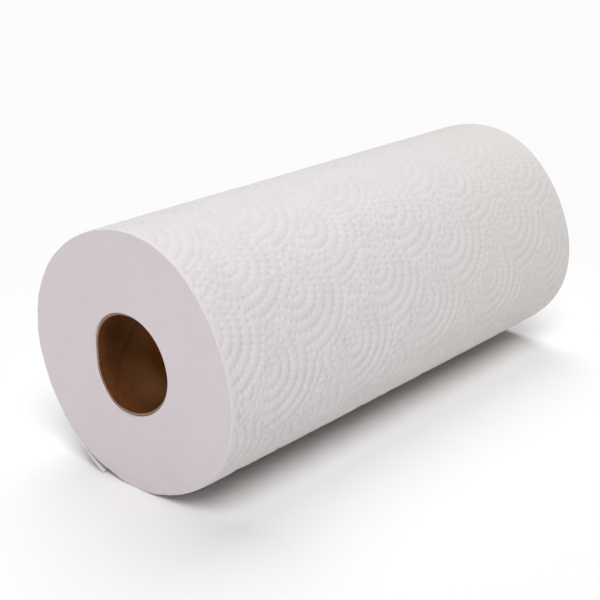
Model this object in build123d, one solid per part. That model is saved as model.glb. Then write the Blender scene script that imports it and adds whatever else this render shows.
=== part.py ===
from build123d import *

import os
from math import atan2, cos, degrees, radians, sin

# Paper towel roll lying on its side, with the tail of its last sheet standing a little loose.
# Millimetres. +Y runs along the roll from its near end, +Z is up, and the origin is the middle of
# the flat spot that the soft roll lies on. Angles round the roll start at its bottom and grow
# towards +X, so 90 is the +X side and 180 is the top.

# Paper
sheet_width = 230.0
outer_radius = 51.5
sheet_thickness = 0.45
flat_width = 12.0
flat_press = 0.35

# Out of round, as soft rolls are: waves per turn and their heights, all peaking at bulge_angle,
# and the side below the tail, pressed flatter
bulge_angle = 66.0
bulge_heights = {2: 0.9, 3: 0.5, 4: 0.7}
press_angle = -42.0
press_reach = 52.0
press_depth = 2.0

# Loose tail of the last sheet
tail_root_angle = -57.0
tail_root_gap = 0.3
tail_lift_angle = -42.0
tail_tip_angle = -19.0
tail_lift = 1.55

# Cardboard core, a little off the roll's centre and set back from the ends
core_bore_radius = 19.0
core_wall = 1.0
core_inset = 1.0
core_shift_x = 1.9
core_shift_z = 0.9
core_fit = 0.05

# Turns that show on the ends, as one spiral groove
turn_lines = 7
turn_groove_width = 0.45
turn_groove_depth = 0.5
outer_turn_inset = 2.6
inner_turn_inset = 2.4

# Tear line across the last sheet
tear_angle = 131.0
tear_slit_length = 4.0
tear_tie_length = 1.4
tear_slit_width = 0.3

# Arcs that the outline is drawn with, and the sweep of each arc of the spiral in degrees
round_arcs = 7
under_tail_arcs = 2
tail_arcs = 2
spiral_arc_sweep = 72.0

full_turn = 360.0
lap_step = sheet_thickness + tail_root_gap


def direction(angle):
    return Vector(sin(radians(angle)), -cos(radians(angle)))


def section_radius(angle):
    """Outer radius of the last turn, out of round and pressed in below the tail."""
    swell = 0.0
    for waves, height in bulge_heights.items():
        swell += height * cos(radians(waves * (angle - bulge_angle)))
    away = (angle - press_angle + full_turn / 2) % full_turn - full_turn / 2
    press = 0.0
    if abs(away) < press_reach:
        press = press_depth * cos(radians(90 * away / press_reach)) ** 2
    return outer_radius + swell - press


def wound_radius(angle):
    """Radius of the wound outside, one sheet lower under the tail than after a whole turn."""
    laps = (angle - tail_root_angle) / full_turn
    return section_radius(angle) - lap_step * (1 - laps)


roll_centre = Vector(0, wound_radius(0) - flat_press)
core_centre = roll_centre + Vector(core_shift_x, core_shift_z)
core_radius = core_bore_radius + core_wall


def wound_point(angle):
    return roll_centre + direction(angle) * wound_radius(angle)


def tail_point(angle, depth):
    """Point of the tail, depth below its outside."""
    rise = max(0.0, (angle - tail_lift_angle) / (tail_tip_angle - tail_lift_angle))
    return roll_centre + direction(angle) * (section_radius(angle) + tail_lift * rise**2 - depth)


def spread(start, end, arcs):
    """Angles of the ends and middles of a run of equal arcs."""
    return [start + (end - start) * half_arc / (2 * arcs) for half_arc in range(2 * arcs + 1)]


def draw_arcs(points):
    """One arc through every three points, end to end."""
    for start, middle, end in zip(points[:-2:2], points[1:-1:2], points[2::2]):
        ThreePointArc(start, middle, end)


def roll_section():
    """Outline of the wound roll with its flat spot and its loose tail."""
    flat_start = Vector(-flat_width / 2, 0)
    flat_end = Vector(flat_width / 2, 0)
    flat_angle = degrees(atan2(flat_width / 2, roll_centre.Y))

    round_angles = spread(flat_angle, tail_root_angle + full_turn, round_arcs)
    tail_angles = spread(tail_root_angle, tail_tip_angle, tail_arcs)
    under_angles = spread(tail_root_angle, -flat_angle, under_tail_arcs)

    tail_outside = [tail_point(angle, 0) for angle in tail_angles]
    tail_inside = [tail_point(angle, sheet_thickness) for angle in tail_angles]
    outside = [flat_end] + [wound_point(angle) for angle in round_angles[1:-1]] + [tail_outside[0]]
    underside = [wound_point(angle) for angle in under_angles[:-1]] + [flat_start]

    with BuildSketch(Plane.XZ) as section:
        with BuildLine():
            Line(flat_start, flat_end)
            draw_arcs(outside)
            draw_arcs(tail_outside)
            Line(tail_outside[-1], tail_inside[-1])
            draw_arcs(tail_inside[::-1])
            Line(tail_inside[0], underside[0])
            draw_arcs(underside)
        make_face()
    return section.sketch


def turn_point(turns, offset):
    """Point on the spiral that the turns show, counted in turns from the outside."""
    angle = tail_root_angle + full_turn * turns
    outer = roll_centre + direction(angle) * (section_radius(angle) - outer_turn_inset)
    inner = core_centre + direction(angle) * (core_radius + inner_turn_inset)
    share = turns / turn_lines
    return outer * (1 - share) + inner * share + direction(angle) * offset


def turn_groove():
    """Spiral band on the end of the roll, along which its turns show."""
    turns = spread(0, turn_lines, round(turn_lines * full_turn / spiral_arc_sweep))
    outer_edge = [turn_point(turn, turn_groove_width / 2) for turn in turns]
    inner_edge = [turn_point(turn, -turn_groove_width / 2) for turn in turns]
    with BuildSketch(Plane.XZ) as band:
        with BuildLine():
            draw_arcs(outer_edge)
            Line(outer_edge[-1], inner_edge[-1])
            draw_arcs(inner_edge[::-1])
            Line(inner_edge[0], outer_edge[0])
        make_face()
    return extrude(band.sketch, turn_groove_depth, both=True)


def tear_slits():
    """Row of slits along the roll, through the last sheet."""
    pitch = tear_slit_length + tear_tie_length
    count = int((sheet_width - tear_tie_length) / pitch)
    surface = wound_point(tear_angle)
    slit = Rot(0, 180 - tear_angle, 0) * Box(tear_slit_width, tear_slit_length, 2 * sheet_thickness)
    first = -pitch * (count - 1) / 2
    return [Pos(surface.X, first + pitch * number, surface.Y) * slit for number in range(count)]


def make_paper_roll():
    roll = extrude(roll_section(), sheet_width / 2, both=True)
    core_axis = Pos(core_centre.X, 0, core_centre.Y) * Rot(90, 0, 0)
    roll -= core_axis * Cylinder(core_radius + core_fit, 2 * sheet_width)
    groove = turn_groove()
    roll -= [Pos(0, end * sheet_width / 2, 0) * groove for end in (-1, 1)]
    roll -= tear_slits()
    roll.label = "paper_roll"
    return roll


def make_core_tube():
    core_axis = Pos(core_centre.X, 0, core_centre.Y) * Rot(90, 0, 0)
    length = sheet_width - 2 * core_inset
    tube = core_axis * (Cylinder(core_radius, length) - Cylinder(core_bore_radius, 2 * length))
    tube.label = "core_tube"
    return tube


os.makedirs("parts", exist_ok=True)
paper_roll = make_paper_roll()
core_tube = make_core_tube()
export_step(paper_roll, "parts/paper_roll.step")
export_step(core_tube, "parts/core_tube.step")

print("roll centre", roll_centre.X, roll_centre.Y, "core centre", core_centre.X, core_centre.Y)
print("tail tip", tail_point(tail_tip_angle, 0))
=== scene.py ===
import math
import random

import bmesh
import bpy
import numpy as np
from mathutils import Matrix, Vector
from mathutils.geometry import delaunay_2d_cdt


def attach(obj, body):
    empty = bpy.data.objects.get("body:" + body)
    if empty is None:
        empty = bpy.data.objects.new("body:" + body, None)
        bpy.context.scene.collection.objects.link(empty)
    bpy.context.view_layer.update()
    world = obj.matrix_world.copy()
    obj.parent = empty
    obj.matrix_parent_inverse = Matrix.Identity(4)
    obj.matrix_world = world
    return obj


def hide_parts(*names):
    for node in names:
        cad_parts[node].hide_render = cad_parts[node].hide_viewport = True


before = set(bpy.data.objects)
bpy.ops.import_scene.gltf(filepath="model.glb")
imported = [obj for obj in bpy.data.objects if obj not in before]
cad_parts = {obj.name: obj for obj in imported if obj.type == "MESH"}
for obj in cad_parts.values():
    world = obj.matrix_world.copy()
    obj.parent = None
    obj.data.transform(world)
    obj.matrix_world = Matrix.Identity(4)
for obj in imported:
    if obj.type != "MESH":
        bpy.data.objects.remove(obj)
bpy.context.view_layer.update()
print("frame loaded")

# Lengths below are millimetres and become metres when a mesh is made.
# Angles go round the roll in degrees from its bottom towards +X: 90 is +X, 180 the top.
# Places on the paper are "along" the roll from its near end and "down" its +X side from the top.
mm = 0.001
uvScale = 0.01                         # a UV unit is 100 mm of paper
fullTurn = 360.0

rollShape = {
    "width": 230.0,
    "radius": 51.5,
    "sheet": 0.45,           # both plies together
    "layerGap": 0.08,        # air between the last turn's sheets and the turn below
    "coreShift": (1.9, 0.9),           # from the roll's centre to the core's, in X and Z
    "flatPress": 0.35,       # flat spot that the roll lies on
    "tearAngle": 131.0,
    "bulgeAngle": 66.0,
    "bulges": {2: 0.9, 3: 0.5, 4: 0.7},     # waves per turn and their heights
    "pressAngle": -42.0,     # the roll is pressed flatter below its tail
    "pressReach": 52.0,
    "pressDepth": 2.0,
    "rootAngle": -57.0,      # where the tail leaves the roll
    "rootGap": 0.3,
    "liftAngle": -37.0,      # where it starts to rise
    "tipAngle": -19.0,
    "tailLift": 1.55,
    "tailWave": 0.14,        # how much the rise changes along the roll, and over what lengths
    "tailWaveLengths": (31.0, 57.0),
    "tipThin": 0.7,          # share of its thickness that the tail has lost by this angle
    "thinBy": -26.0,
    "snug": 0.24,            # the turn below comes up to the tail, and this fades over these angles
    "snugFade": (-40.0, -25.0),
    "rim": 0.25,             # rounding where the side turns into the ends, down and along the roll
    "rimReach": 0.7,
    "squareRim": (-62.0, -46.0),       # the rim loses its rounding over these angles, at the tail
    "roundAgain": (-10.0, 10.0),       # and the roll's own rim gets it back over these
    "endBack": 1.3,          # how far the outer turns stand back at the near end, least at this angle
    "backSwing": 0.9,
    "backAngle": -25.0,
    "backWave": 0.12,
    "backWaves": (13, 31),   # in a turn
    "backReach": 30.0,       # and how far along the roll this goes
    "tailFlush": (-44.0, -24.0),       # over these angles the tail comes level with the flat end
    "dent": 1.0,             # the near rim is pushed down past the tail's edge
    "dentAngle": -13.0,
    "dentSpread": 11.0,
    "dentReach": 25.0,
    "swell": 0.08,           # slow unevenness of the side, its lengths along it and its waves in a turn
    "swellLengths": (27.0, 61.0),
    "swellWaves": (2, 3),
}
lapStep = rollShape["sheet"] + rollShape["rootGap"]


def smoothStep(low, high, value):
    share = np.clip((value - low) / (high - low), 0.0, 1.0)
    return share * share * (3 - 2 * share)


def turnedFrom(start, angle):          # between -180 and 180
    return (angle - start + fullTurn / 2) % fullTurn - fullTurn / 2


def sectionRadius(angle):
    swell = sum(h * np.cos(np.radians(n * (angle - rollShape["bulgeAngle"])))
                for n, h in rollShape["bulges"].items())
    away = turnedFrom(rollShape["pressAngle"], angle)
    inside = np.clip(np.abs(away) / rollShape["pressReach"], 0.0, 1.0)
    return rollShape["radius"] + swell - rollShape["pressDepth"] * np.cos(inside * math.pi / 2) ** 2


def lastTurnRadius(angle, along):      # angle runs on past a full turn for the tail
    laps = (angle - rollShape["rootAngle"]) / fullTurn
    liftStart = rollShape["liftAngle"] + fullTurn
    rise = np.clip((angle - liftStart) / (rollShape["tipAngle"] - rollShape["liftAngle"]), 0.0, None)
    shortWave, longWave = rollShape["tailWaveLengths"]
    wave = 1 + rollShape["tailWave"] * np.sin(along / shortWave) * np.cos(along / longWave)
    lift = rollShape["tailLift"] * wave * rise ** 2
    snug = rollShape["snug"] * (1 - smoothStep(*rollShape["snugFade"], angle))
    return sectionRadius(angle) - lapStep * np.clip(1 - laps, 0.0, 1.0) + snug + lift


rollHeight = float(lastTurnRadius(np.array(0.0), 0.0)) - rollShape["flatPress"]
coreCentre = (rollShape["coreShift"][0], rollHeight + rollShape["coreShift"][1])


def unevenness(angle, along):
    turn = np.radians(angle)
    dent = rollShape["dent"] * np.exp(-((angle - rollShape["dentAngle"]) / rollShape["dentSpread"]) ** 2)
    dent = dent * np.exp(-(along / rollShape["dentReach"]) ** 2)
    shortWave, longWave = rollShape["swellLengths"]
    few, many = rollShape["swellWaves"]
    across, around = np.sin(along / shortWave + few * turn), np.cos(many * turn + along / longWave)
    return rollShape["swell"] * across * around - dent


def rimDrop(angle, along):
    edge = np.minimum(along, rollShape["width"] - along)
    inset = np.clip(1 - edge / rollShape["rimReach"], 0.0, 1.0)
    around = turnedFrom(0.0, angle)
    onTail = angle > fullTurn / 2
    again = np.where(onTail, 0.0, smoothStep(*rollShape["roundAgain"], around))
    share = 1 - smoothStep(*rollShape["squareRim"], around) * (1 - again)
    return rollShape["rim"] * share * (1 - np.sqrt(1 - inset ** 2))


def standBack(angle, along):           # how far the paper lies in from its place on a flat near end
    turn = np.radians(angle)
    few, many = rollShape["backWaves"]
    wave = rollShape["backWave"] * np.sin(few * turn + 1) * np.sin(many * turn)
    swing = rollShape["backSwing"] * np.cos(turn - math.radians(rollShape["backAngle"]))
    back = rollShape["endBack"] - swing + wave
    flush = smoothStep(*rollShape["tailFlush"], angle - fullTurn)
    return back * (1 - flush) * np.clip(1 - along / rollShape["backReach"], 0.0, 1.0) ** 2


def roundPoint(angle, along, radius):  # from roll coordinates to the frame, in millimetres
    turn = np.radians(angle)
    y = along - rollShape["width"] / 2 + standBack(angle, along)
    z = np.maximum(rollHeight - radius * np.cos(turn), 0.0)
    return np.stack([radius * np.sin(turn), y, z], axis=-1)


def downAt(angle):
    return math.radians(fullTurn / 2 - angle) * rollShape["radius"]


def angleAt(down):
    return fullTurn / 2 - np.degrees(down / rollShape["radius"])


def sheetPoint(along, down, height):
    angle = angleAt(down)
    radius = lastTurnRadius(angle, along) + unevenness(angle, along) - rimDrop(angle, along) + height
    return roundPoint(angle, along, radius)


def sheetThickness(down):              # the tail thins to its torn edge, where the plies are pinched
    thin = smoothStep(rollShape["liftAngle"], rollShape["thinBy"], angleAt(down) - fullTurn)
    return rollShape["sheet"] * (1 - rollShape["tipThin"] * thin)


def finishPiece(mesh, name, node, materials):
    piece = bpy.data.objects.new(name, mesh)
    bpy.context.scene.collection.objects.link(piece)
    for material in materials:
        mesh.materials.append(material)
    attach(piece, "root")
    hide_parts(node)
    print(name, "faces", len(mesh.polygons))


# Finishes

class Wire:                            # a node's output that can be used in sums
    def __init__(self, finish, socket):
        self.finish, self.socket = finish, socket

    def sum(self, operation, first, second):
        return self.finish.node("ShaderNodeMath", {"operation": operation}, {0: first, 1: second})

    def __add__(self, other):
        return self.sum("ADD", self, other)

    def __radd__(self, other):
        return self.sum("ADD", other, self)

    def __sub__(self, other):
        return self.sum("SUBTRACT", self, other)

    def __rsub__(self, other):
        return self.sum("SUBTRACT", other, self)

    def __mul__(self, other):
        return self.sum("MULTIPLY", self, other)

    def __rmul__(self, other):
        return self.sum("MULTIPLY", other, self)

    def size(self):
        return self.finish.node("ShaderNodeMath", {"operation": "ABSOLUTE"}, {0: self})


class Finish:
    def __init__(self, name):
        self.material = bpy.data.materials.new(name)
        self.material.use_nodes = True
        self.tree = self.material.node_tree
        self.tree.nodes.clear()

    def node(self, kind, settings=None, sockets=None, output=0):
        made = self.tree.nodes.new(kind)
        for key, value in (settings or {}).items():
            setattr(made, key, value)
        for key, value in (sockets or {}).items():
            if isinstance(value, Wire):
                self.tree.links.new(value.socket, made.inputs[key])
            else:
                made.inputs[key].default_value = value
        return Wire(self, made.outputs[output])

    def noise(self, vector, scale, detail, stretch=(1.0, 1.0, 1.0)):
        placed = self.node("ShaderNodeMapping", {}, {"Vector": vector, "Scale": stretch})
        return self.node("ShaderNodeTexNoise", {}, {"Vector": placed, "Scale": scale, "Detail": detail})

    def band(self, value, low, high):  # 0 below low, 1 above high
        return self.node("ShaderNodeMapRange", {"interpolation_type": "SMOOTHSTEP"},
                         {"Value": value, "From Min": low, "From Max": high})

    def mix(self, share, first, second):    # the colour sockets of a mix go by number
        return self.node("ShaderNodeMix", {"data_type": "RGBA"}, {0: share, 6: first, 7: second}, 2)

    def bump(self, height, strength, distance):
        return self.node("ShaderNodeBump", {},
                         {"Height": height, "Strength": strength, "Distance": distance})

    def close(self, sockets):
        shader = self.node("ShaderNodeBsdfPrincipled", {}, sockets)
        end = self.tree.nodes.new("ShaderNodeOutputMaterial")
        self.tree.links.new(shader.socket, end.inputs["Surface"])
        return self.material


towelLook = {
    "sheet": (0.787, 0.760, 0.755, 1.0),
    "sheetShade": (0.757, 0.730, 0.724, 1.0),
    # painted highlight: a paler, lavender tone along the rim, where its rounded edge catches the light
    "rim": (0.81, 0.762, 0.79, 1.0),
    "highlightWidth": 2.8,         # width of the painted highlight along the rim, how softly it ends, how it wanders
    "highlightSoft": 0.4,
    "highlightWander": 5.0,
    "far": (0.738, 0.712, 0.680, 1.0),      # painted shade: warmer and duller towards the far end, which gets less light
    "farShare": 0.8,
    "farFrom": 60.0,
    "creases": (3.0, 3.0, (60.0, 900.0, 1.0)),   # scale, detail and stretch: they run along the roll
    "creaseShare": 0.6,
    "fibres": (400.0, 2.0),
    "clouds": (9.0, 2.0),
    "cloudEdges": (0.35, 0.7),
    "bump": (0.25, 0.00012),
    "roughness": 0.92,
    "gloss": 0.25,
    "sheen": 0.08,
}


def towelFinish():
    look = towelLook
    finish = Finish("towelPaper")
    flat = finish.node("ShaderNodeTexCoord", output="UV")      # the sheet's own map
    creases = finish.noise(flat, *look["creases"])
    fibres = finish.noise(flat, *look["fibres"])
    clouds = finish.noise(flat, *look["clouds"])
    tone = finish.mix(finish.band(clouds, *look["cloudEdges"]), look["sheet"], look["sheetShade"])
    along = finish.node("ShaderNodeSeparateXYZ", {}, {"Vector": flat}, "X")
    half = rollShape["width"] / 2 * uvScale
    fromEnd = half - (along - half).size() + (clouds - 0.5) * (look["highlightWander"] * uvScale)
    highlightWidth = look["highlightWidth"] * uvScale
    inRim = finish.band(fromEnd, (look["highlightWidth"] - look["highlightSoft"]) * uvScale, highlightWidth)
    # the painted highlight along the rim
    tone = finish.mix(inRim, look["rim"], tone)
    # painted shade towards the far end
    toFarShade = finish.band(along, look["farFrom"] * uvScale, rollShape["width"] * uvScale)
    tone = finish.mix(toFarShade * look["farShare"], tone, look["far"])
    relief = creases * look["creaseShare"] + fibres * (1 - look["creaseShare"])
    return finish.close({"Base Color": tone, "Roughness": look["roughness"],
                         "Normal": finish.bump(relief, *look["bump"]),
                         "Specular IOR Level": look["gloss"], "Sheen Weight": look["sheen"]})


endLook = {
    "end": (0.843, 0.760, 0.793, 1.0),
    "endShade": (0.813, 0.744, 0.770, 1.0),
    "ringScale": 2600.0,     # rings of tone round the core
    "rings": (1.0, 2.0),
    "clouds": (70.0, 3.0),
    "grain": (1800.0, 2.0),
    "cloudEdges": (0.35, 0.68),
    "ringShare": 0.5,        # of the tone
    "ringBump": 0.4,         # and of the bump
    "bump": (0.25, 0.0001),
    "roughness": 0.95,
    "gloss": 0.2,
}


def endFinish():
    look = endLook
    finish = Finish("towelEnd")
    place = finish.node("ShaderNodeTexCoord", output="Object")
    fromCore = finish.node("ShaderNodeVectorMath", {"operation": "SUBTRACT"},
                           {0: place, 1: (coreCentre[0] * mm, 0.0, coreCentre[1] * mm)})
    across = finish.node("ShaderNodeVectorMath", {"operation": "MULTIPLY"},
                         {0: fromCore, 1: (1.0, 0.0, 1.0)})
    radius = finish.node("ShaderNodeVectorMath", {"operation": "LENGTH"}, {0: across}, "Value")
    outward = finish.node("ShaderNodeCombineXYZ", {}, {"X": radius * look["ringScale"]})
    rings = finish.noise(outward, *look["rings"])
    clouds = finish.noise(place, *look["clouds"])
    grain = finish.noise(place, *look["grain"])
    share = rings * look["ringShare"] + clouds * (1 - look["ringShare"])
    tone = finish.mix(finish.band(share, *look["cloudEdges"]), look["end"], look["endShade"])
    relief = rings * look["ringBump"] + grain * (1 - look["ringBump"])
    return finish.close({"Base Color": tone, "Roughness": look["roughness"],
                         "Normal": finish.bump(relief, *look["bump"]),
                         "Specular IOR Level": look["gloss"]})


# Perforation and torn edge

tearLine = {
    "slit": 4.0,             # cuts, and the ties between them
    "tie": 1.4,
    "endTie": 1.0,
    # how open a cut is, by place from its middle in half lengths
    "opening": {-1.0: 0.0, -0.9: 0.7, -0.45: 1.0, 0.0: 1.0, 0.45: 1.0, 0.9: 0.7, 1.0: 0.0},
    "cutWidth": 0.025,       # on each side of it
    "cutDip": 0.04,          # the paper dips at the cuts, and a little at the ties
    "tieDip": 0.01,
    "tornTie": (0.15, 0.65),           # how far broken ties and cut stretches stand out
    "tornCut": (0.0, 0.06),
    "tornDip": 0.02,
}


def tearStations():                    # places along the roll, and how open the cut is there
    pitch = tearLine["slit"] + tearLine["tie"]
    count = int((rollShape["width"] - tearLine["tie"]) / pitch)
    first = rollShape["width"] / 2 - pitch * (count - 1) / 2
    stations = [(0.0, 0.0), (tearLine["endTie"], 0.0)]
    for number in range(count):
        centre = first + pitch * number
        for share, opening in tearLine["opening"].items():
            stations.append((centre + share * tearLine["slit"] / 2, opening))
        stations.append((centre + pitch / 2, 0.0))
    return stations + [(rollShape["width"], 0.0)]


def tearEdge(draw, side):              # half of a closed tear line: place, shift and height
    width, dip, tieDip = tearLine["cutWidth"], tearLine["cutDip"], tearLine["tieDip"]
    return [(along, side * width * opening, -dip * opening - tieDip) for along, opening in tearStations()]


def tornEdge(draw, side):              # a torn one, with the broken ties standing out
    edge = []
    for along, opening in tearStations():
        reach = tearLine["tornCut"] if opening else tearLine["tornTie"]
        edge.append((along, -side * draw.uniform(*reach), -tearLine["tornDip"]))
    return edge


def plainEdge(draw, side):
    return [(along, 0.0, 0.0) for along, opening in tearStations()]


# Embossed sheets of the last turn

emboss = {
    "rowPitch": 23.4,
    "columnPitch": 46.8,
    "firstRow": 28.7,        # down from the top of the roll
    "firstColumn": 20.8,     # from the near end
    "stagger": 1.7,          # neighbours in a row stand this far up or down
    "ringPitch": 4.58,
    "firstRing": 0.75,
    "rings": 7,
    "reach": 30.0,           # radius that a motif covers of those below it, to the lower right
    "dotPitch": 2.82,
    "lineUp": 50.0,          # the dots of all rings of a motif line up in this direction
    "dotRadius": 1.06,
    "dotSides": 8,
    "floorRadius": 0.54,
    "floorSides": 6,
    "floorShare": 0.62,      # of the dot's depth, at the edge of its floor
    "depth": 0.47,
    "depthSpread": 0.12,
    "closest": 2.5,
    "gap": 2.95,             # a dot fills any place that is this far from the rest
    "fillStep": 0.7,         # and such places are looked for at this spacing
    # where the paper swells between two rings, and its share of the height there
    "ridges": {0.3: 0.75, 0.5: 1.0, 0.7: 0.75},
    "ridgeHeight": 0.15,
    "ridgeStep": 1.4,
    "ridgeClear": 1.4,       # from a dot, and from each other
    "ridgeGap": 0.85,
    "soft": (0.25, 20.0, 30.0),             # how much flatter on top, at which place and how widely
    "softFar": (0.14, 120.0),               # and at the far end, from this place on
    "swollen": (1.3, 50.0, 108.0),          # how much higher ridges are low on the side, and where
    "endClear": 2.2,         # clear of the roll's ends, and of the sheet's other edges
    "edgeClear": 1.3,
    "endFade": 1.6,
    "seed": 11,
}
sheetGrid = {
    "rimRows": (0.04, 0.14, 0.32, 0.6, 1.1),     # rows of points that round the rim
    "sideStep": 1.2,         # spacing of points along the sheet's long edges
    "coarseSkip": 3,         # the inner face keeps one of so many
    "coarseStep": 6.0,       # and has its columns this far apart
    "closeness": 1e-6,       # points nearer than this are one
}


def motifCentres(low, high):           # with the layer that each motif lies on
    firstRow = math.floor((low - emboss["reach"] - emboss["firstRow"]) / emboss["rowPitch"])
    lastRow = math.ceil((high + emboss["reach"] - emboss["firstRow"]) / emboss["rowPitch"])
    spare = 2                          # columns past each end of the roll
    lastColumn = math.ceil(rollShape["width"] / emboss["columnPitch"]) + spare
    centres, layers = [], []
    for row in range(firstRow, lastRow + 1):
        for column in range(-spare, lastColumn):
            half = 2 * column + row % 2
            stagger = emboss["stagger"] * (-1) ** (column + row // 2 + row % 2)
            centres.append((emboss["firstColumn"] + half * emboss["columnPitch"] / 2,
                            emboss["firstRow"] + row * emboss["rowPitch"] + stagger))
            layers.append(half + row)
    return np.array(centres), np.array(layers)


def ringPoints(centre, offset, pitch):
    for ring in range(emboss["rings"]):
        radius = (ring + emboss["firstRing"] + offset) * emboss["ringPitch"]
        count = max(3, round(2 * math.pi * radius / pitch))
        turn = math.radians(emboss["lineUp"]) + 2 * math.pi * np.arange(count) / count
        yield centre + radius * np.stack([np.cos(turn), np.sin(turn)], axis=1)


def ownPoints(motif, centres, layers, offset, pitch):      # what this motif shows of its rings
    points = np.concatenate([centres[motif:motif + 1], *ringPoints(centres[motif], offset, pitch)])
    away = np.linalg.norm(points[:, None, :] - centres[None, :, :], axis=2)
    farAway = 1000.0                   # more than any distance on a sheet
    covered = np.where(away < emboss["reach"], farAway * layers + away, farAway ** 2 + away)
    return points[covered.argmin(axis=1) == motif]


class Spaced:                          # keeps points, and finds whether one is near another
    def __init__(self, cell):
        self.cell, self.cells, self.points = cell, {}, []

    def near(self, point, gap):        # for gaps up to a cell's size
        column, row = int(point[0] // self.cell), int(point[1] // self.cell)
        for i in (column - 1, column, column + 1):
            for j in (row - 1, row, row + 1):
                for other in self.cells.get((i, j), ()):
                    if math.hypot(other[0] - point[0], other[1] - point[1]) < gap:
                        return True
        return False

    def add(self, point):
        key = (int(point[0] // self.cell), int(point[1] // self.cell))
        self.cells.setdefault(key, []).append(point)
        self.points.append(point)


def embossPoints(low, high):
    centres, layers = motifCentres(low, high)
    dots, ridges = Spaced(emboss["gap"]), Spaced(emboss["gap"])
    firstAlong, lastAlong = emboss["endClear"], rollShape["width"] - emboss["endClear"]
    firstDown, lastDown = low + emboss["edgeClear"], high - emboss["edgeClear"]

    def inside(point):
        return firstAlong < point[0] < lastAlong and firstDown < point[1] < lastDown

    for motif in range(len(centres)):
        for point in ownPoints(motif, centres, layers, 0.0, emboss["dotPitch"]):
            if inside(point) and not dots.near(point, emboss["closest"]):
                dots.add(point)
    for along in np.arange(0.0, rollShape["width"], emboss["fillStep"]):
        for down in np.arange(low, high, emboss["fillStep"]):
            if inside((along, down)) and not dots.near((along, down), emboss["gap"]):
                dots.add((along, down))
    shares = []
    for offset, share in emboss["ridges"].items():
        for motif in range(len(centres)):
            for point in ownPoints(motif, centres, layers, offset, emboss["ridgeStep"]):
                if not inside(point) or dots.near(point, emboss["ridgeClear"]):
                    continue
                if not ridges.near(point, emboss["ridgeGap"]):
                    ridges.add(point)
                    shares.append(share)
    return dots.points, zip(ridges.points, shares)


def firmness(along, down):             # flatter on top and towards the far end
    share, place, reach = emboss["soft"]
    farShare, farFrom = emboss["softFar"]
    far = farShare * float(smoothStep(farFrom, rollShape["width"], along))
    return (1 - share * math.exp(-((down - place) / reach) ** 2)) * (1 - far)


def ridgeSwell(down):
    share, start, full = emboss["swollen"]
    return 1 + share * float(smoothStep(start, full, down))


def endFade(along):                    # the pattern fades out at both ends of the roll
    return float(smoothStep(0.0, emboss["endFade"], min(along, rollShape["width"] - along)))


def pressDots(draw, dots):             # all points of the dots, each with its height
    pressed = []
    for along, down in dots:
        uneven = 1 + draw.uniform(-1, 1) * emboss["depthSpread"]
        depth = emboss["depth"] * firmness(along, down) * endFade(along) * uneven
        pressed.append((along, down, -depth))
        for radius, sides, share in ((emboss["floorRadius"], emboss["floorSides"], emboss["floorShare"]),
                                     (emboss["dotRadius"], emboss["dotSides"], 0.0)):
            start = draw.random()
            for side in range(sides):
                turn = 2 * math.pi * (side + start) / sides
                place = (along + radius * math.cos(turn), down + radius * math.sin(turn))
                pressed.append((*place, -depth * share))
    return pressed


def swellRidges(ridges):
    swollen = []
    for (along, down), share in ridges:
        height = emboss["ridgeHeight"] * firmness(along, down) * ridgeSwell(down) * share * endFade(along)
        swollen.append((along, down, height))
    return swollen


def sheetLoop(low, high, lowEdge, highEdge, sideDown):     # outline of the flat sheet, with heights
    loop = [(along, low + shift, height) for along, shift, height in lowEdge]
    loop += [(rollShape["width"], down, 0.0) for down in sideDown]
    loop += [(along, high + shift, height) for along, shift, height in reversed(highEdge)]
    return loop + [(0.0, down, 0.0) for down in reversed(sideDown)]


def fillLoop(points, loopSize):        # triangles of the flat sheet through all the points
    flat = [Vector(point[:2]) for point in points]
    insideOnly = 1
    result = delaunay_2d_cdt(flat, [], [list(range(loopSize))], insideOnly, sheetGrid["closeness"])
    sources = [group[0] for group in result[3]]
    return [[sources[i] for i in face] for face in result[2]]


def addFlatMap(mesh, flat):            # the flat sheet is its own UV map
    corners = np.zeros(len(mesh.loops), int)
    mesh.loops.foreach_get("vertex_index", corners)
    uv = mesh.uv_layers.new(name="flat")
    uv.data.foreach_set("uv", flat[corners].ravel().astype(np.float32))


def smoothShell(mesh, loopSize, loopStarts):     # smooth, but for the loops round its edge
    bm = bmesh.new()
    bm.from_mesh(mesh)
    bmesh.ops.recalc_face_normals(bm, faces=bm.faces)
    bm.verts.ensure_lookup_table()
    for face in bm.faces:
        face.smooth = True
    for first in loopStarts:
        for i in range(loopSize):
            edge = bm.edges.get((bm.verts[first + i], bm.verts[first + (i + 1) % loopSize]))
            edge.smooth = False
    bm.to_mesh(mesh)
    bm.free()


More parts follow.
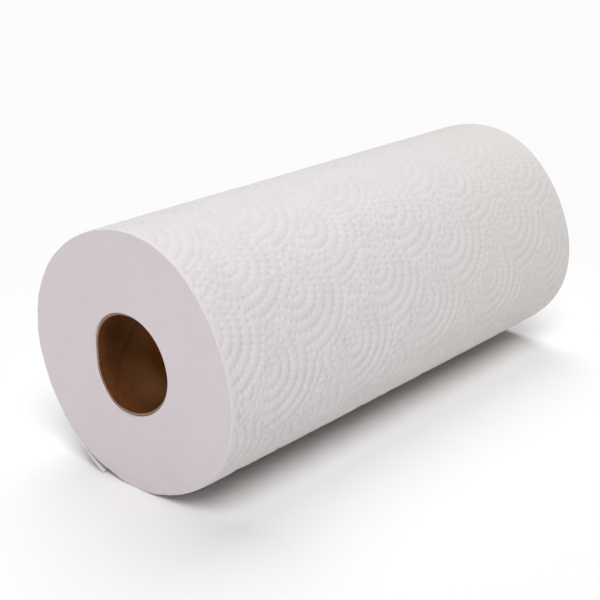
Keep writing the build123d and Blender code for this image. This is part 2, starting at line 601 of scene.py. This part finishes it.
def embossedSheet(name, startAngle, endAngle, startEdge, endEdge, material):
    draw = random.Random(emboss["seed"])
    width, high, low = rollShape["width"], downAt(startAngle), downAt(endAngle)
    lowEdge, highEdge = endEdge(draw, 1), startEdge(draw, -1)
    steps = round((high - low) / sheetGrid["sideStep"])
    sideDown = [low + (high - low) * step / steps for step in range(1, steps)]
    loop = sheetLoop(low, high, lowEdge, highEdge, sideDown)
    rims = [along for row in sheetGrid["rimRows"] for along in (row, width - row)]

    dots, ridges = embossPoints(low, high)
    outer = loop + [(along, down, 0.0) for along in rims for down in sideDown]
    outer += pressDots(draw, dots) + swellRidges(ridges)
    step = sheetGrid["coarseStep"]
    columns = rims + np.arange(step, width - step / 2, step).tolist()
    coarseDown = sideDown[::sheetGrid["coarseSkip"]]
    under = loop + [(along, down, 0.0) for along in columns for down in coarseDown]

    outerFaces, underFaces = fillLoop(outer, len(loop)), fillLoop(under, len(loop))
    outer, under = np.array(outer), np.array(under)
    outside = sheetPoint(*outer.T)
    inside = sheetPoint(under[:, 0], under[:, 1], -sheetThickness(under[:, 1]))
    first, count = len(outer), len(loop)
    walls = [(i, (i + 1) % count, first + (i + 1) % count, first + i) for i in range(count)]
    faces = outerFaces + [[first + i for i in face] for face in underFaces] + walls

    mesh = bpy.data.meshes.new(name)
    mesh.from_pydata((np.concatenate([outside, inside]) * mm).tolist(), [], faces)
    addFlatMap(mesh, np.concatenate([outer, under])[:, :2] * uvScale)
    smoothShell(mesh, count, (0, first))
    print(name, "dots", len(dots))
    finishPiece(mesh, name, "paper_roll", [material])


# Wound turns under the last sheets

coreHole = {
    # angle, half width and push outward of each dent at the near end
    "dents": ((30.0, 30.0, -0.7), (80.0, 26.0, 0.25), (225.0, 26.0, 0.3), (270.0, 20.0, -1.05),
              (331.0, 20.0, 0.95)),
    "reach": 55.0,           # how far along the roll they fade
    "farShare": 0.5,         # the far end has them mirrored and shallower
}
woundTurns = {
    "turns": 70,
    "columns": 160,
    "sideStations": 10,
    "boreStations": 12,
    "rimTurns": (20, 40, 60, 80),      # where the rim's rounding has its rows, in degrees
    "pastRim": 0.2,
    "bore": 20.05,
    "relief": 0.05,          # how much further back the paper stands between two turns' crests
    "crest": 0.03,           # how far back the crests stand, more or less
    "crestWaves": (2.1, 0.83),
    "crestStart": 1.3,
    "looseEvery": 10.0,      # some turns stand back further, as where the winding slackened
    "looseSpread": 0.7,
    "looseDepth": 0.05,
    "looseCrest": 0.3,       # share of that depth at their crests
    "endFade": 0.02,         # the relief fades out at the bore and at the rim
    "lapRamp": 2.3,          # degrees over which the outside comes down to close its turn
    "floorClear": 0.12,
}


def boreSwell(angle, along):
    near = np.exp(-(along / coreHole["reach"]) ** 2)
    far = np.exp(-((rollShape["width"] - along) / coreHole["reach"]) ** 2)
    total = 0.0
    for place, halfWidth, push in coreHole["dents"]:
        away, mirrored = turnedFrom(place, angle), turnedFrom(-place, angle)
        total = total + push * (near * np.exp(-(away / halfWidth) ** 2)
                                + coreHole["farShare"] * far * np.exp(-(mirrored / halfWidth) ** 2))
    return total


def corePoint(angle, along, radius):
    turn = np.radians(angle)
    swollen = radius + boreSwell(angle, along)
    return np.stack([coreCentre[0] + swollen * np.sin(turn), along - rollShape["width"] / 2,
                     coreCentre[1] - swollen * np.cos(turn)], axis=-1)


def rolledGrid(columns, rows):         # a flat grid to bend round, and each corner's share and row
    bm = bmesh.new()
    bmesh.ops.create_grid(bm, x_segments=columns, y_segments=rows, size=1.0)
    corners = np.array([v.co[:] for v in bm.verts])
    share = (corners[:, 0] + 1) / 2
    row = np.rint((corners[:, 1] + 1) / 2 * rows).astype(int)
    return bm, share, row


def closeGrid(bm, points, name):
    for vertex, point in zip(bm.verts, points):
        vertex.co = point * mm
    bmesh.ops.remove_doubles(bm, verts=bm.verts, dist=0.002 * mm)
    bmesh.ops.recalc_face_normals(bm, faces=bm.faces)
    for face in bm.faces:
        face.smooth = True
    mesh = bpy.data.meshes.new(name)
    bm.to_mesh(mesh)
    bm.free()
    return mesh


def turnRows(along):                   # from the bore out: share outward, turn, valley, spiral and place
    turns = woundTurns["turns"]
    rows = [(0.0, 0.0, 0.0, 0.0, along)]
    for half in range(2 * turns - 1):
        rows.append((half / (2 * turns), half / 2, float(half % 2), 1.0, along))
    return rows + [(1.0, float(turns), 0.0, 0.0, along)]


def turnsDepth(turn, valley):          # how far an end stands back at a turn
    fast, slow = woundTurns["crestWaves"]
    wave = np.sin(fast * turn + woundTurns["crestStart"]) * np.sin(slow * turn)
    crest = woundTurns["crest"] * (1 + wave)
    fromLoose = turn % woundTurns["looseEvery"] - woundTurns["looseEvery"] / 2
    slack = np.exp(-(fromLoose / woundTurns["looseSpread"]) ** 2)
    slackShare = woundTurns["looseCrest"] + (1 - woundTurns["looseCrest"]) * valley
    return crest + valley * woundTurns["relief"] + slack * slackShare * woundTurns["looseDepth"]


def woundRows():                       # round the section: near end, side, far end and bore
    width, reach = rollShape["width"], rollShape["rimReach"]
    stations, boreStations = woundTurns["sideStations"], woundTurns["boreStations"]
    rim = [reach * (1 - math.cos(math.radians(turn))) for turn in woundTurns["rimTurns"]]
    rim.append(reach + woundTurns["pastRim"])
    middle = [width * step / stations for step in range(1, stations)]
    side = rim + middle + [width - along for along in reversed(rim)]
    bore = [width * step / boreStations for step in range(boreStations - 1, 0, -1)]
    rows = turnRows(0.0) + [(1.0, -1.0, 0.0, 0.0, along) for along in side]
    rows += turnRows(width)[::-1] + [(0.0, -1.0, 0.0, 0.0, along) for along in bore]
    return rows + rows[:1]


def woundRoll(material):
    width, rows = rollShape["width"], woundRows()
    bm, share, row = rolledGrid(woundTurns["columns"], len(rows) - 1)
    out, turn, valley, spiral, along = np.array(rows)[row].T
    angle = rollShape["rootAngle"] + share * fullTurn
    onEnd = turn >= 0                  # elsewhere the turn is -1
    out = out + spiral * share / woundTurns["turns"]
    turn = turn + spiral * share
    fade = woundTurns["endFade"]
    inset = turnsDepth(turn, valley) * smoothStep(0.0, fade, out) * smoothStep(0.0, fade, 1 - out)
    inset = np.where(onEnd, inset, 0.0)
    along = np.where(along < width / 2, along + inset, along - inset)

    drop = smoothStep(fullTurn - woundTurns["lapRamp"], fullTurn, share * fullTurn)
    below = rollShape["sheet"] + rollShape["layerGap"] + drop * (lapStep - rollShape["snug"])
    radius = lastTurnRadius(angle, along) + unevenness(angle, along) - below
    radius = radius - rimDrop(angle, np.where(onEnd, 0.0, along))
    outer = roundPoint(angle, along, radius)
    outer[:, 2] = np.maximum(outer[:, 2], woundTurns["floorClear"])
    core = corePoint(angle, along, woundTurns["bore"])
    mesh = closeGrid(bm, core + (outer - core) * out[:, None], "wound_turns")
    finishPiece(mesh, "wound_turns", "paper_roll", [material])


# Cardboard core

coreTube = {
    "bore": 19.0,
    "wall": 1.0,
    "inset": 1.0,
    "columns": 144,
    "rows": 48,
    "outerSkip": 4,          # the outside keeps one row of so many
    "ragged": 0.10,          # unevenness of the cut ends, and its waves in a turn
    "raggedWaves": (17, 5),
    "cutFacing": 0.7,        # faces that look along the roll more than this are the cut
    "seamPitch": 82.0,       # the inner ply's seam climbs this far in a turn
    "seamAngle": 338.0,      # and starts here at the near end
    "seamWidth": 1.9,
    "seamShadowLine": 0.3,         # half width of the painted shadow line along each of its edges
    "seamShadowShare": 0.75,
}
boardLook = {
    # painted shade: the wall inside the bore is much darker than the board at its cut, for the shade in
    # the tube
    "wall": (0.128, 0.045, 0.0135, 1.0),
    "wallShade": (0.104, 0.036, 0.0105, 1.0),
    "deepLight": (0.72, 0.365, 0.135, 1.0),
    "deepLightFrom": 34.0,        # painted light: how far in the wall reaches its lighter deep tone
    # painted shadow along the step edges of the ply's seam
    "seamShadow": (0.06, 0.02, 0.006, 1.0),
    "cut": (0.42, 0.29, 0.22, 1.0),
    "cutShade": (0.32, 0.22, 0.16, 1.0),
    "fibres": (900.0, 4.0, (1.0, 0.25, 1.0)),
    "fibreShare": 0.6,
    "blotches": (120.0, 3.0),
    "blotchEdges": (0.38, 0.62),
    "bump": (0.35, 0.0002),
    "roughness": 0.85,
    "gloss": 0.1,
}


def seamDistance(finish, place):       # from the nearest edge of the ply's seam, round the bore
    x, y, z = (finish.node("ShaderNodeSeparateXYZ", {}, {"Vector": place}, axis) for axis in "XYZ")
    turn = x.sum("ARCTAN2", x - coreCentre[0] * mm, coreCentre[1] * mm - z) * (1 / (2 * math.pi))
    climbed = y * (1 / (coreTube["seamPitch"] * mm)) + rollShape["width"] / 2 / coreTube["seamPitch"]
    fromStart = turn + climbed - coreTube["seamAngle"] / fullTurn + 0.5
    inTurn = finish.node("ShaderNodeMath", {"operation": "FRACT"}, {0: fromStart})
    fromSeam = (inTurn - 0.5).size() * (2 * math.pi * coreTube["bore"])
    return (fromSeam - coreTube["seamWidth"] / 2).size()


def wallLightAndShadow(finish, place, board):    # the wall's painted light deep in, and the painted shadow lines along its seam
    along = finish.node("ShaderNodeSeparateXYZ", {}, {"Vector": place}, "Y")
    inward = finish.band(rollShape["width"] / 2 * mm - along.size(), 0.0, boardLook["deepLightFrom"] * mm)
    # painted light, growing deeper in the bore
    board = finish.mix(inward * inward, board, boardLook["deepLight"])
    # painted shadow lines along both edges of the seam
    shadowLine = 1 - finish.band(seamDistance(finish, place), 0.0, 2 * coreTube["seamShadowLine"])
    return finish.mix(shadowLine * coreTube["seamShadowShare"], board, boardLook["seamShadow"])


def boardFinish(name, tone, shade, onWall):
    look = boardLook
    finish = Finish(name)
    place = finish.node("ShaderNodeTexCoord", output="Object")
    fibres = finish.noise(place, *look["fibres"])
    blotches = finish.noise(place, *look["blotches"])
    share = fibres * look["fibreShare"] + blotches * (1 - look["fibreShare"])
    board = finish.mix(finish.band(share, *look["blotchEdges"]), shade, tone)
    if onWall:
        board = wallLightAndShadow(finish, place, board)
    return finish.close({"Base Color": board, "Roughness": look["roughness"],
                         "Normal": finish.bump(fibres, *look["bump"]),
                         "Specular IOR Level": look["gloss"]})


def cardCore():
    width, inset, rows = rollShape["width"], coreTube["inset"], coreTube["rows"]
    length = width - 2 * inset
    inner = [(coreTube["bore"], inset + length * step / rows) for step in range(rows + 1)]
    outerRadius = coreTube["bore"] + coreTube["wall"]
    outer = [(outerRadius, along) for radius, along in reversed(inner[::coreTube["outerSkip"]])]
    middle = coreTube["bore"] + coreTube["wall"] / 2
    loop = inner + [(middle, width - inset)] + outer + [(middle, inset)] + inner[:1]

    bm, share, row = rolledGrid(coreTube["columns"], len(loop) - 1)
    radius, along = np.array(loop)[row].T
    many, few = coreTube["raggedWaves"]
    turn = share * 2 * math.pi
    ragged = coreTube["ragged"] * np.sin(turn * many + 1) * np.sin(turn * few)
    inward = np.where(along < width / 2, 1, -1)
    along = along + np.where(radius == middle, ragged * inward, 0.0)
    mesh = closeGrid(bm, corePoint(share * fullTurn, along, radius), "card_core")
    for face in mesh.polygons:
        face.material_index = 1 if abs(face.normal.y) > coreTube["cutFacing"] else 0
    wall = boardFinish("coreBoard", boardLook["wall"], boardLook["wallShade"], True)
    cut = boardFinish("coreCut", boardLook["cut"], boardLook["cutShade"], False)
    finishPiece(mesh, "card_core", "core_tube", [wall, cut])


towel = towelFinish()
tailEnd = rollShape["tipAngle"] + fullTurn
embossedSheet("last_sheet", rollShape["tearAngle"], tailEnd, tearEdge, tornEdge, towel)
embossedSheet("sheet_before", rollShape["rootAngle"], rollShape["tearAngle"], plainEdge, tearEdge, towel)
woundRoll(endFinish())
cardCore()


# Floor, light and camera

studio = {
    "floorSize": 24.0,       # in metres, as the camera's place is
    "floorTone": (0.94, 0.937, 0.918, 1.0),
    "floorRoughness": 0.9,
    "sky": 0.06,
    "tint": (1.0, 0.997, 1.022),
    "suns": {                # strength, spread in degrees and where each shines from
        "frontLight": (2.09, 35.0, (0.390, -0.371, 0.843)),
        "backLight": (1.47, 45.0, (-0.339, 0.314, 0.887)),
    },
    "lens": 74.71,
    "film": 36.0,
    "cameraPlace": (0.3200, -0.3873, 0.2302),
    "cameraPitch": -20.46,
    "cameraTurn": 40.92,
}


def makeFloor():
    bm = bmesh.new()
    bmesh.ops.create_grid(bm, x_segments=1, y_segments=1, size=studio["floorSize"] / 2)
    mesh = bpy.data.meshes.new("floor")
    bm.to_mesh(mesh)
    bm.free()
    paint = Finish("floorPaint").close({"Base Color": studio["floorTone"], "Specular IOR Level": 0.0,
                                        "Roughness": studio["floorRoughness"]})
    mesh.materials.append(paint)
    floor = bpy.data.objects.new("floor", mesh)
    bpy.context.scene.collection.objects.link(floor)


def makeLight():
    world = bpy.data.worlds.new("studioSky")
    world.use_nodes = True
    back = world.node_tree.nodes["Background"]
    back.inputs["Color"].default_value = (1.0, 1.0, 1.0, 1.0)
    back.inputs["Strength"].default_value = studio["sky"]
    bpy.context.scene.world = world
    for name, (strength, spread, source) in studio["suns"].items():
        sun = bpy.data.lights.new(name, "SUN")
        sun.energy = strength
        sun.angle = math.radians(spread)
        sun.color = studio["tint"]
        lamp = bpy.data.objects.new(name, sun)
        lamp.rotation_euler = Vector(source).to_track_quat("Z", "Y").to_euler()
        bpy.context.scene.collection.objects.link(lamp)


def makeCamera():
    optics = bpy.data.cameras.new("camera")
    optics.lens = studio["lens"]
    optics.sensor_width = studio["film"]
    camera = bpy.data.objects.new("camera", optics)
    camera.location = studio["cameraPlace"]
    pitch, turn = math.radians(90 + studio["cameraPitch"]), math.radians(studio["cameraTurn"])
    camera.rotation_euler = (pitch, 0.0, turn)
    bpy.context.scene.collection.objects.link(camera)
    bpy.context.scene.camera = camera


makeFloor()
makeLight()
makeCamera()
bpy.context.scene.view_settings.view_transform = "Standard"
print("stage ready")
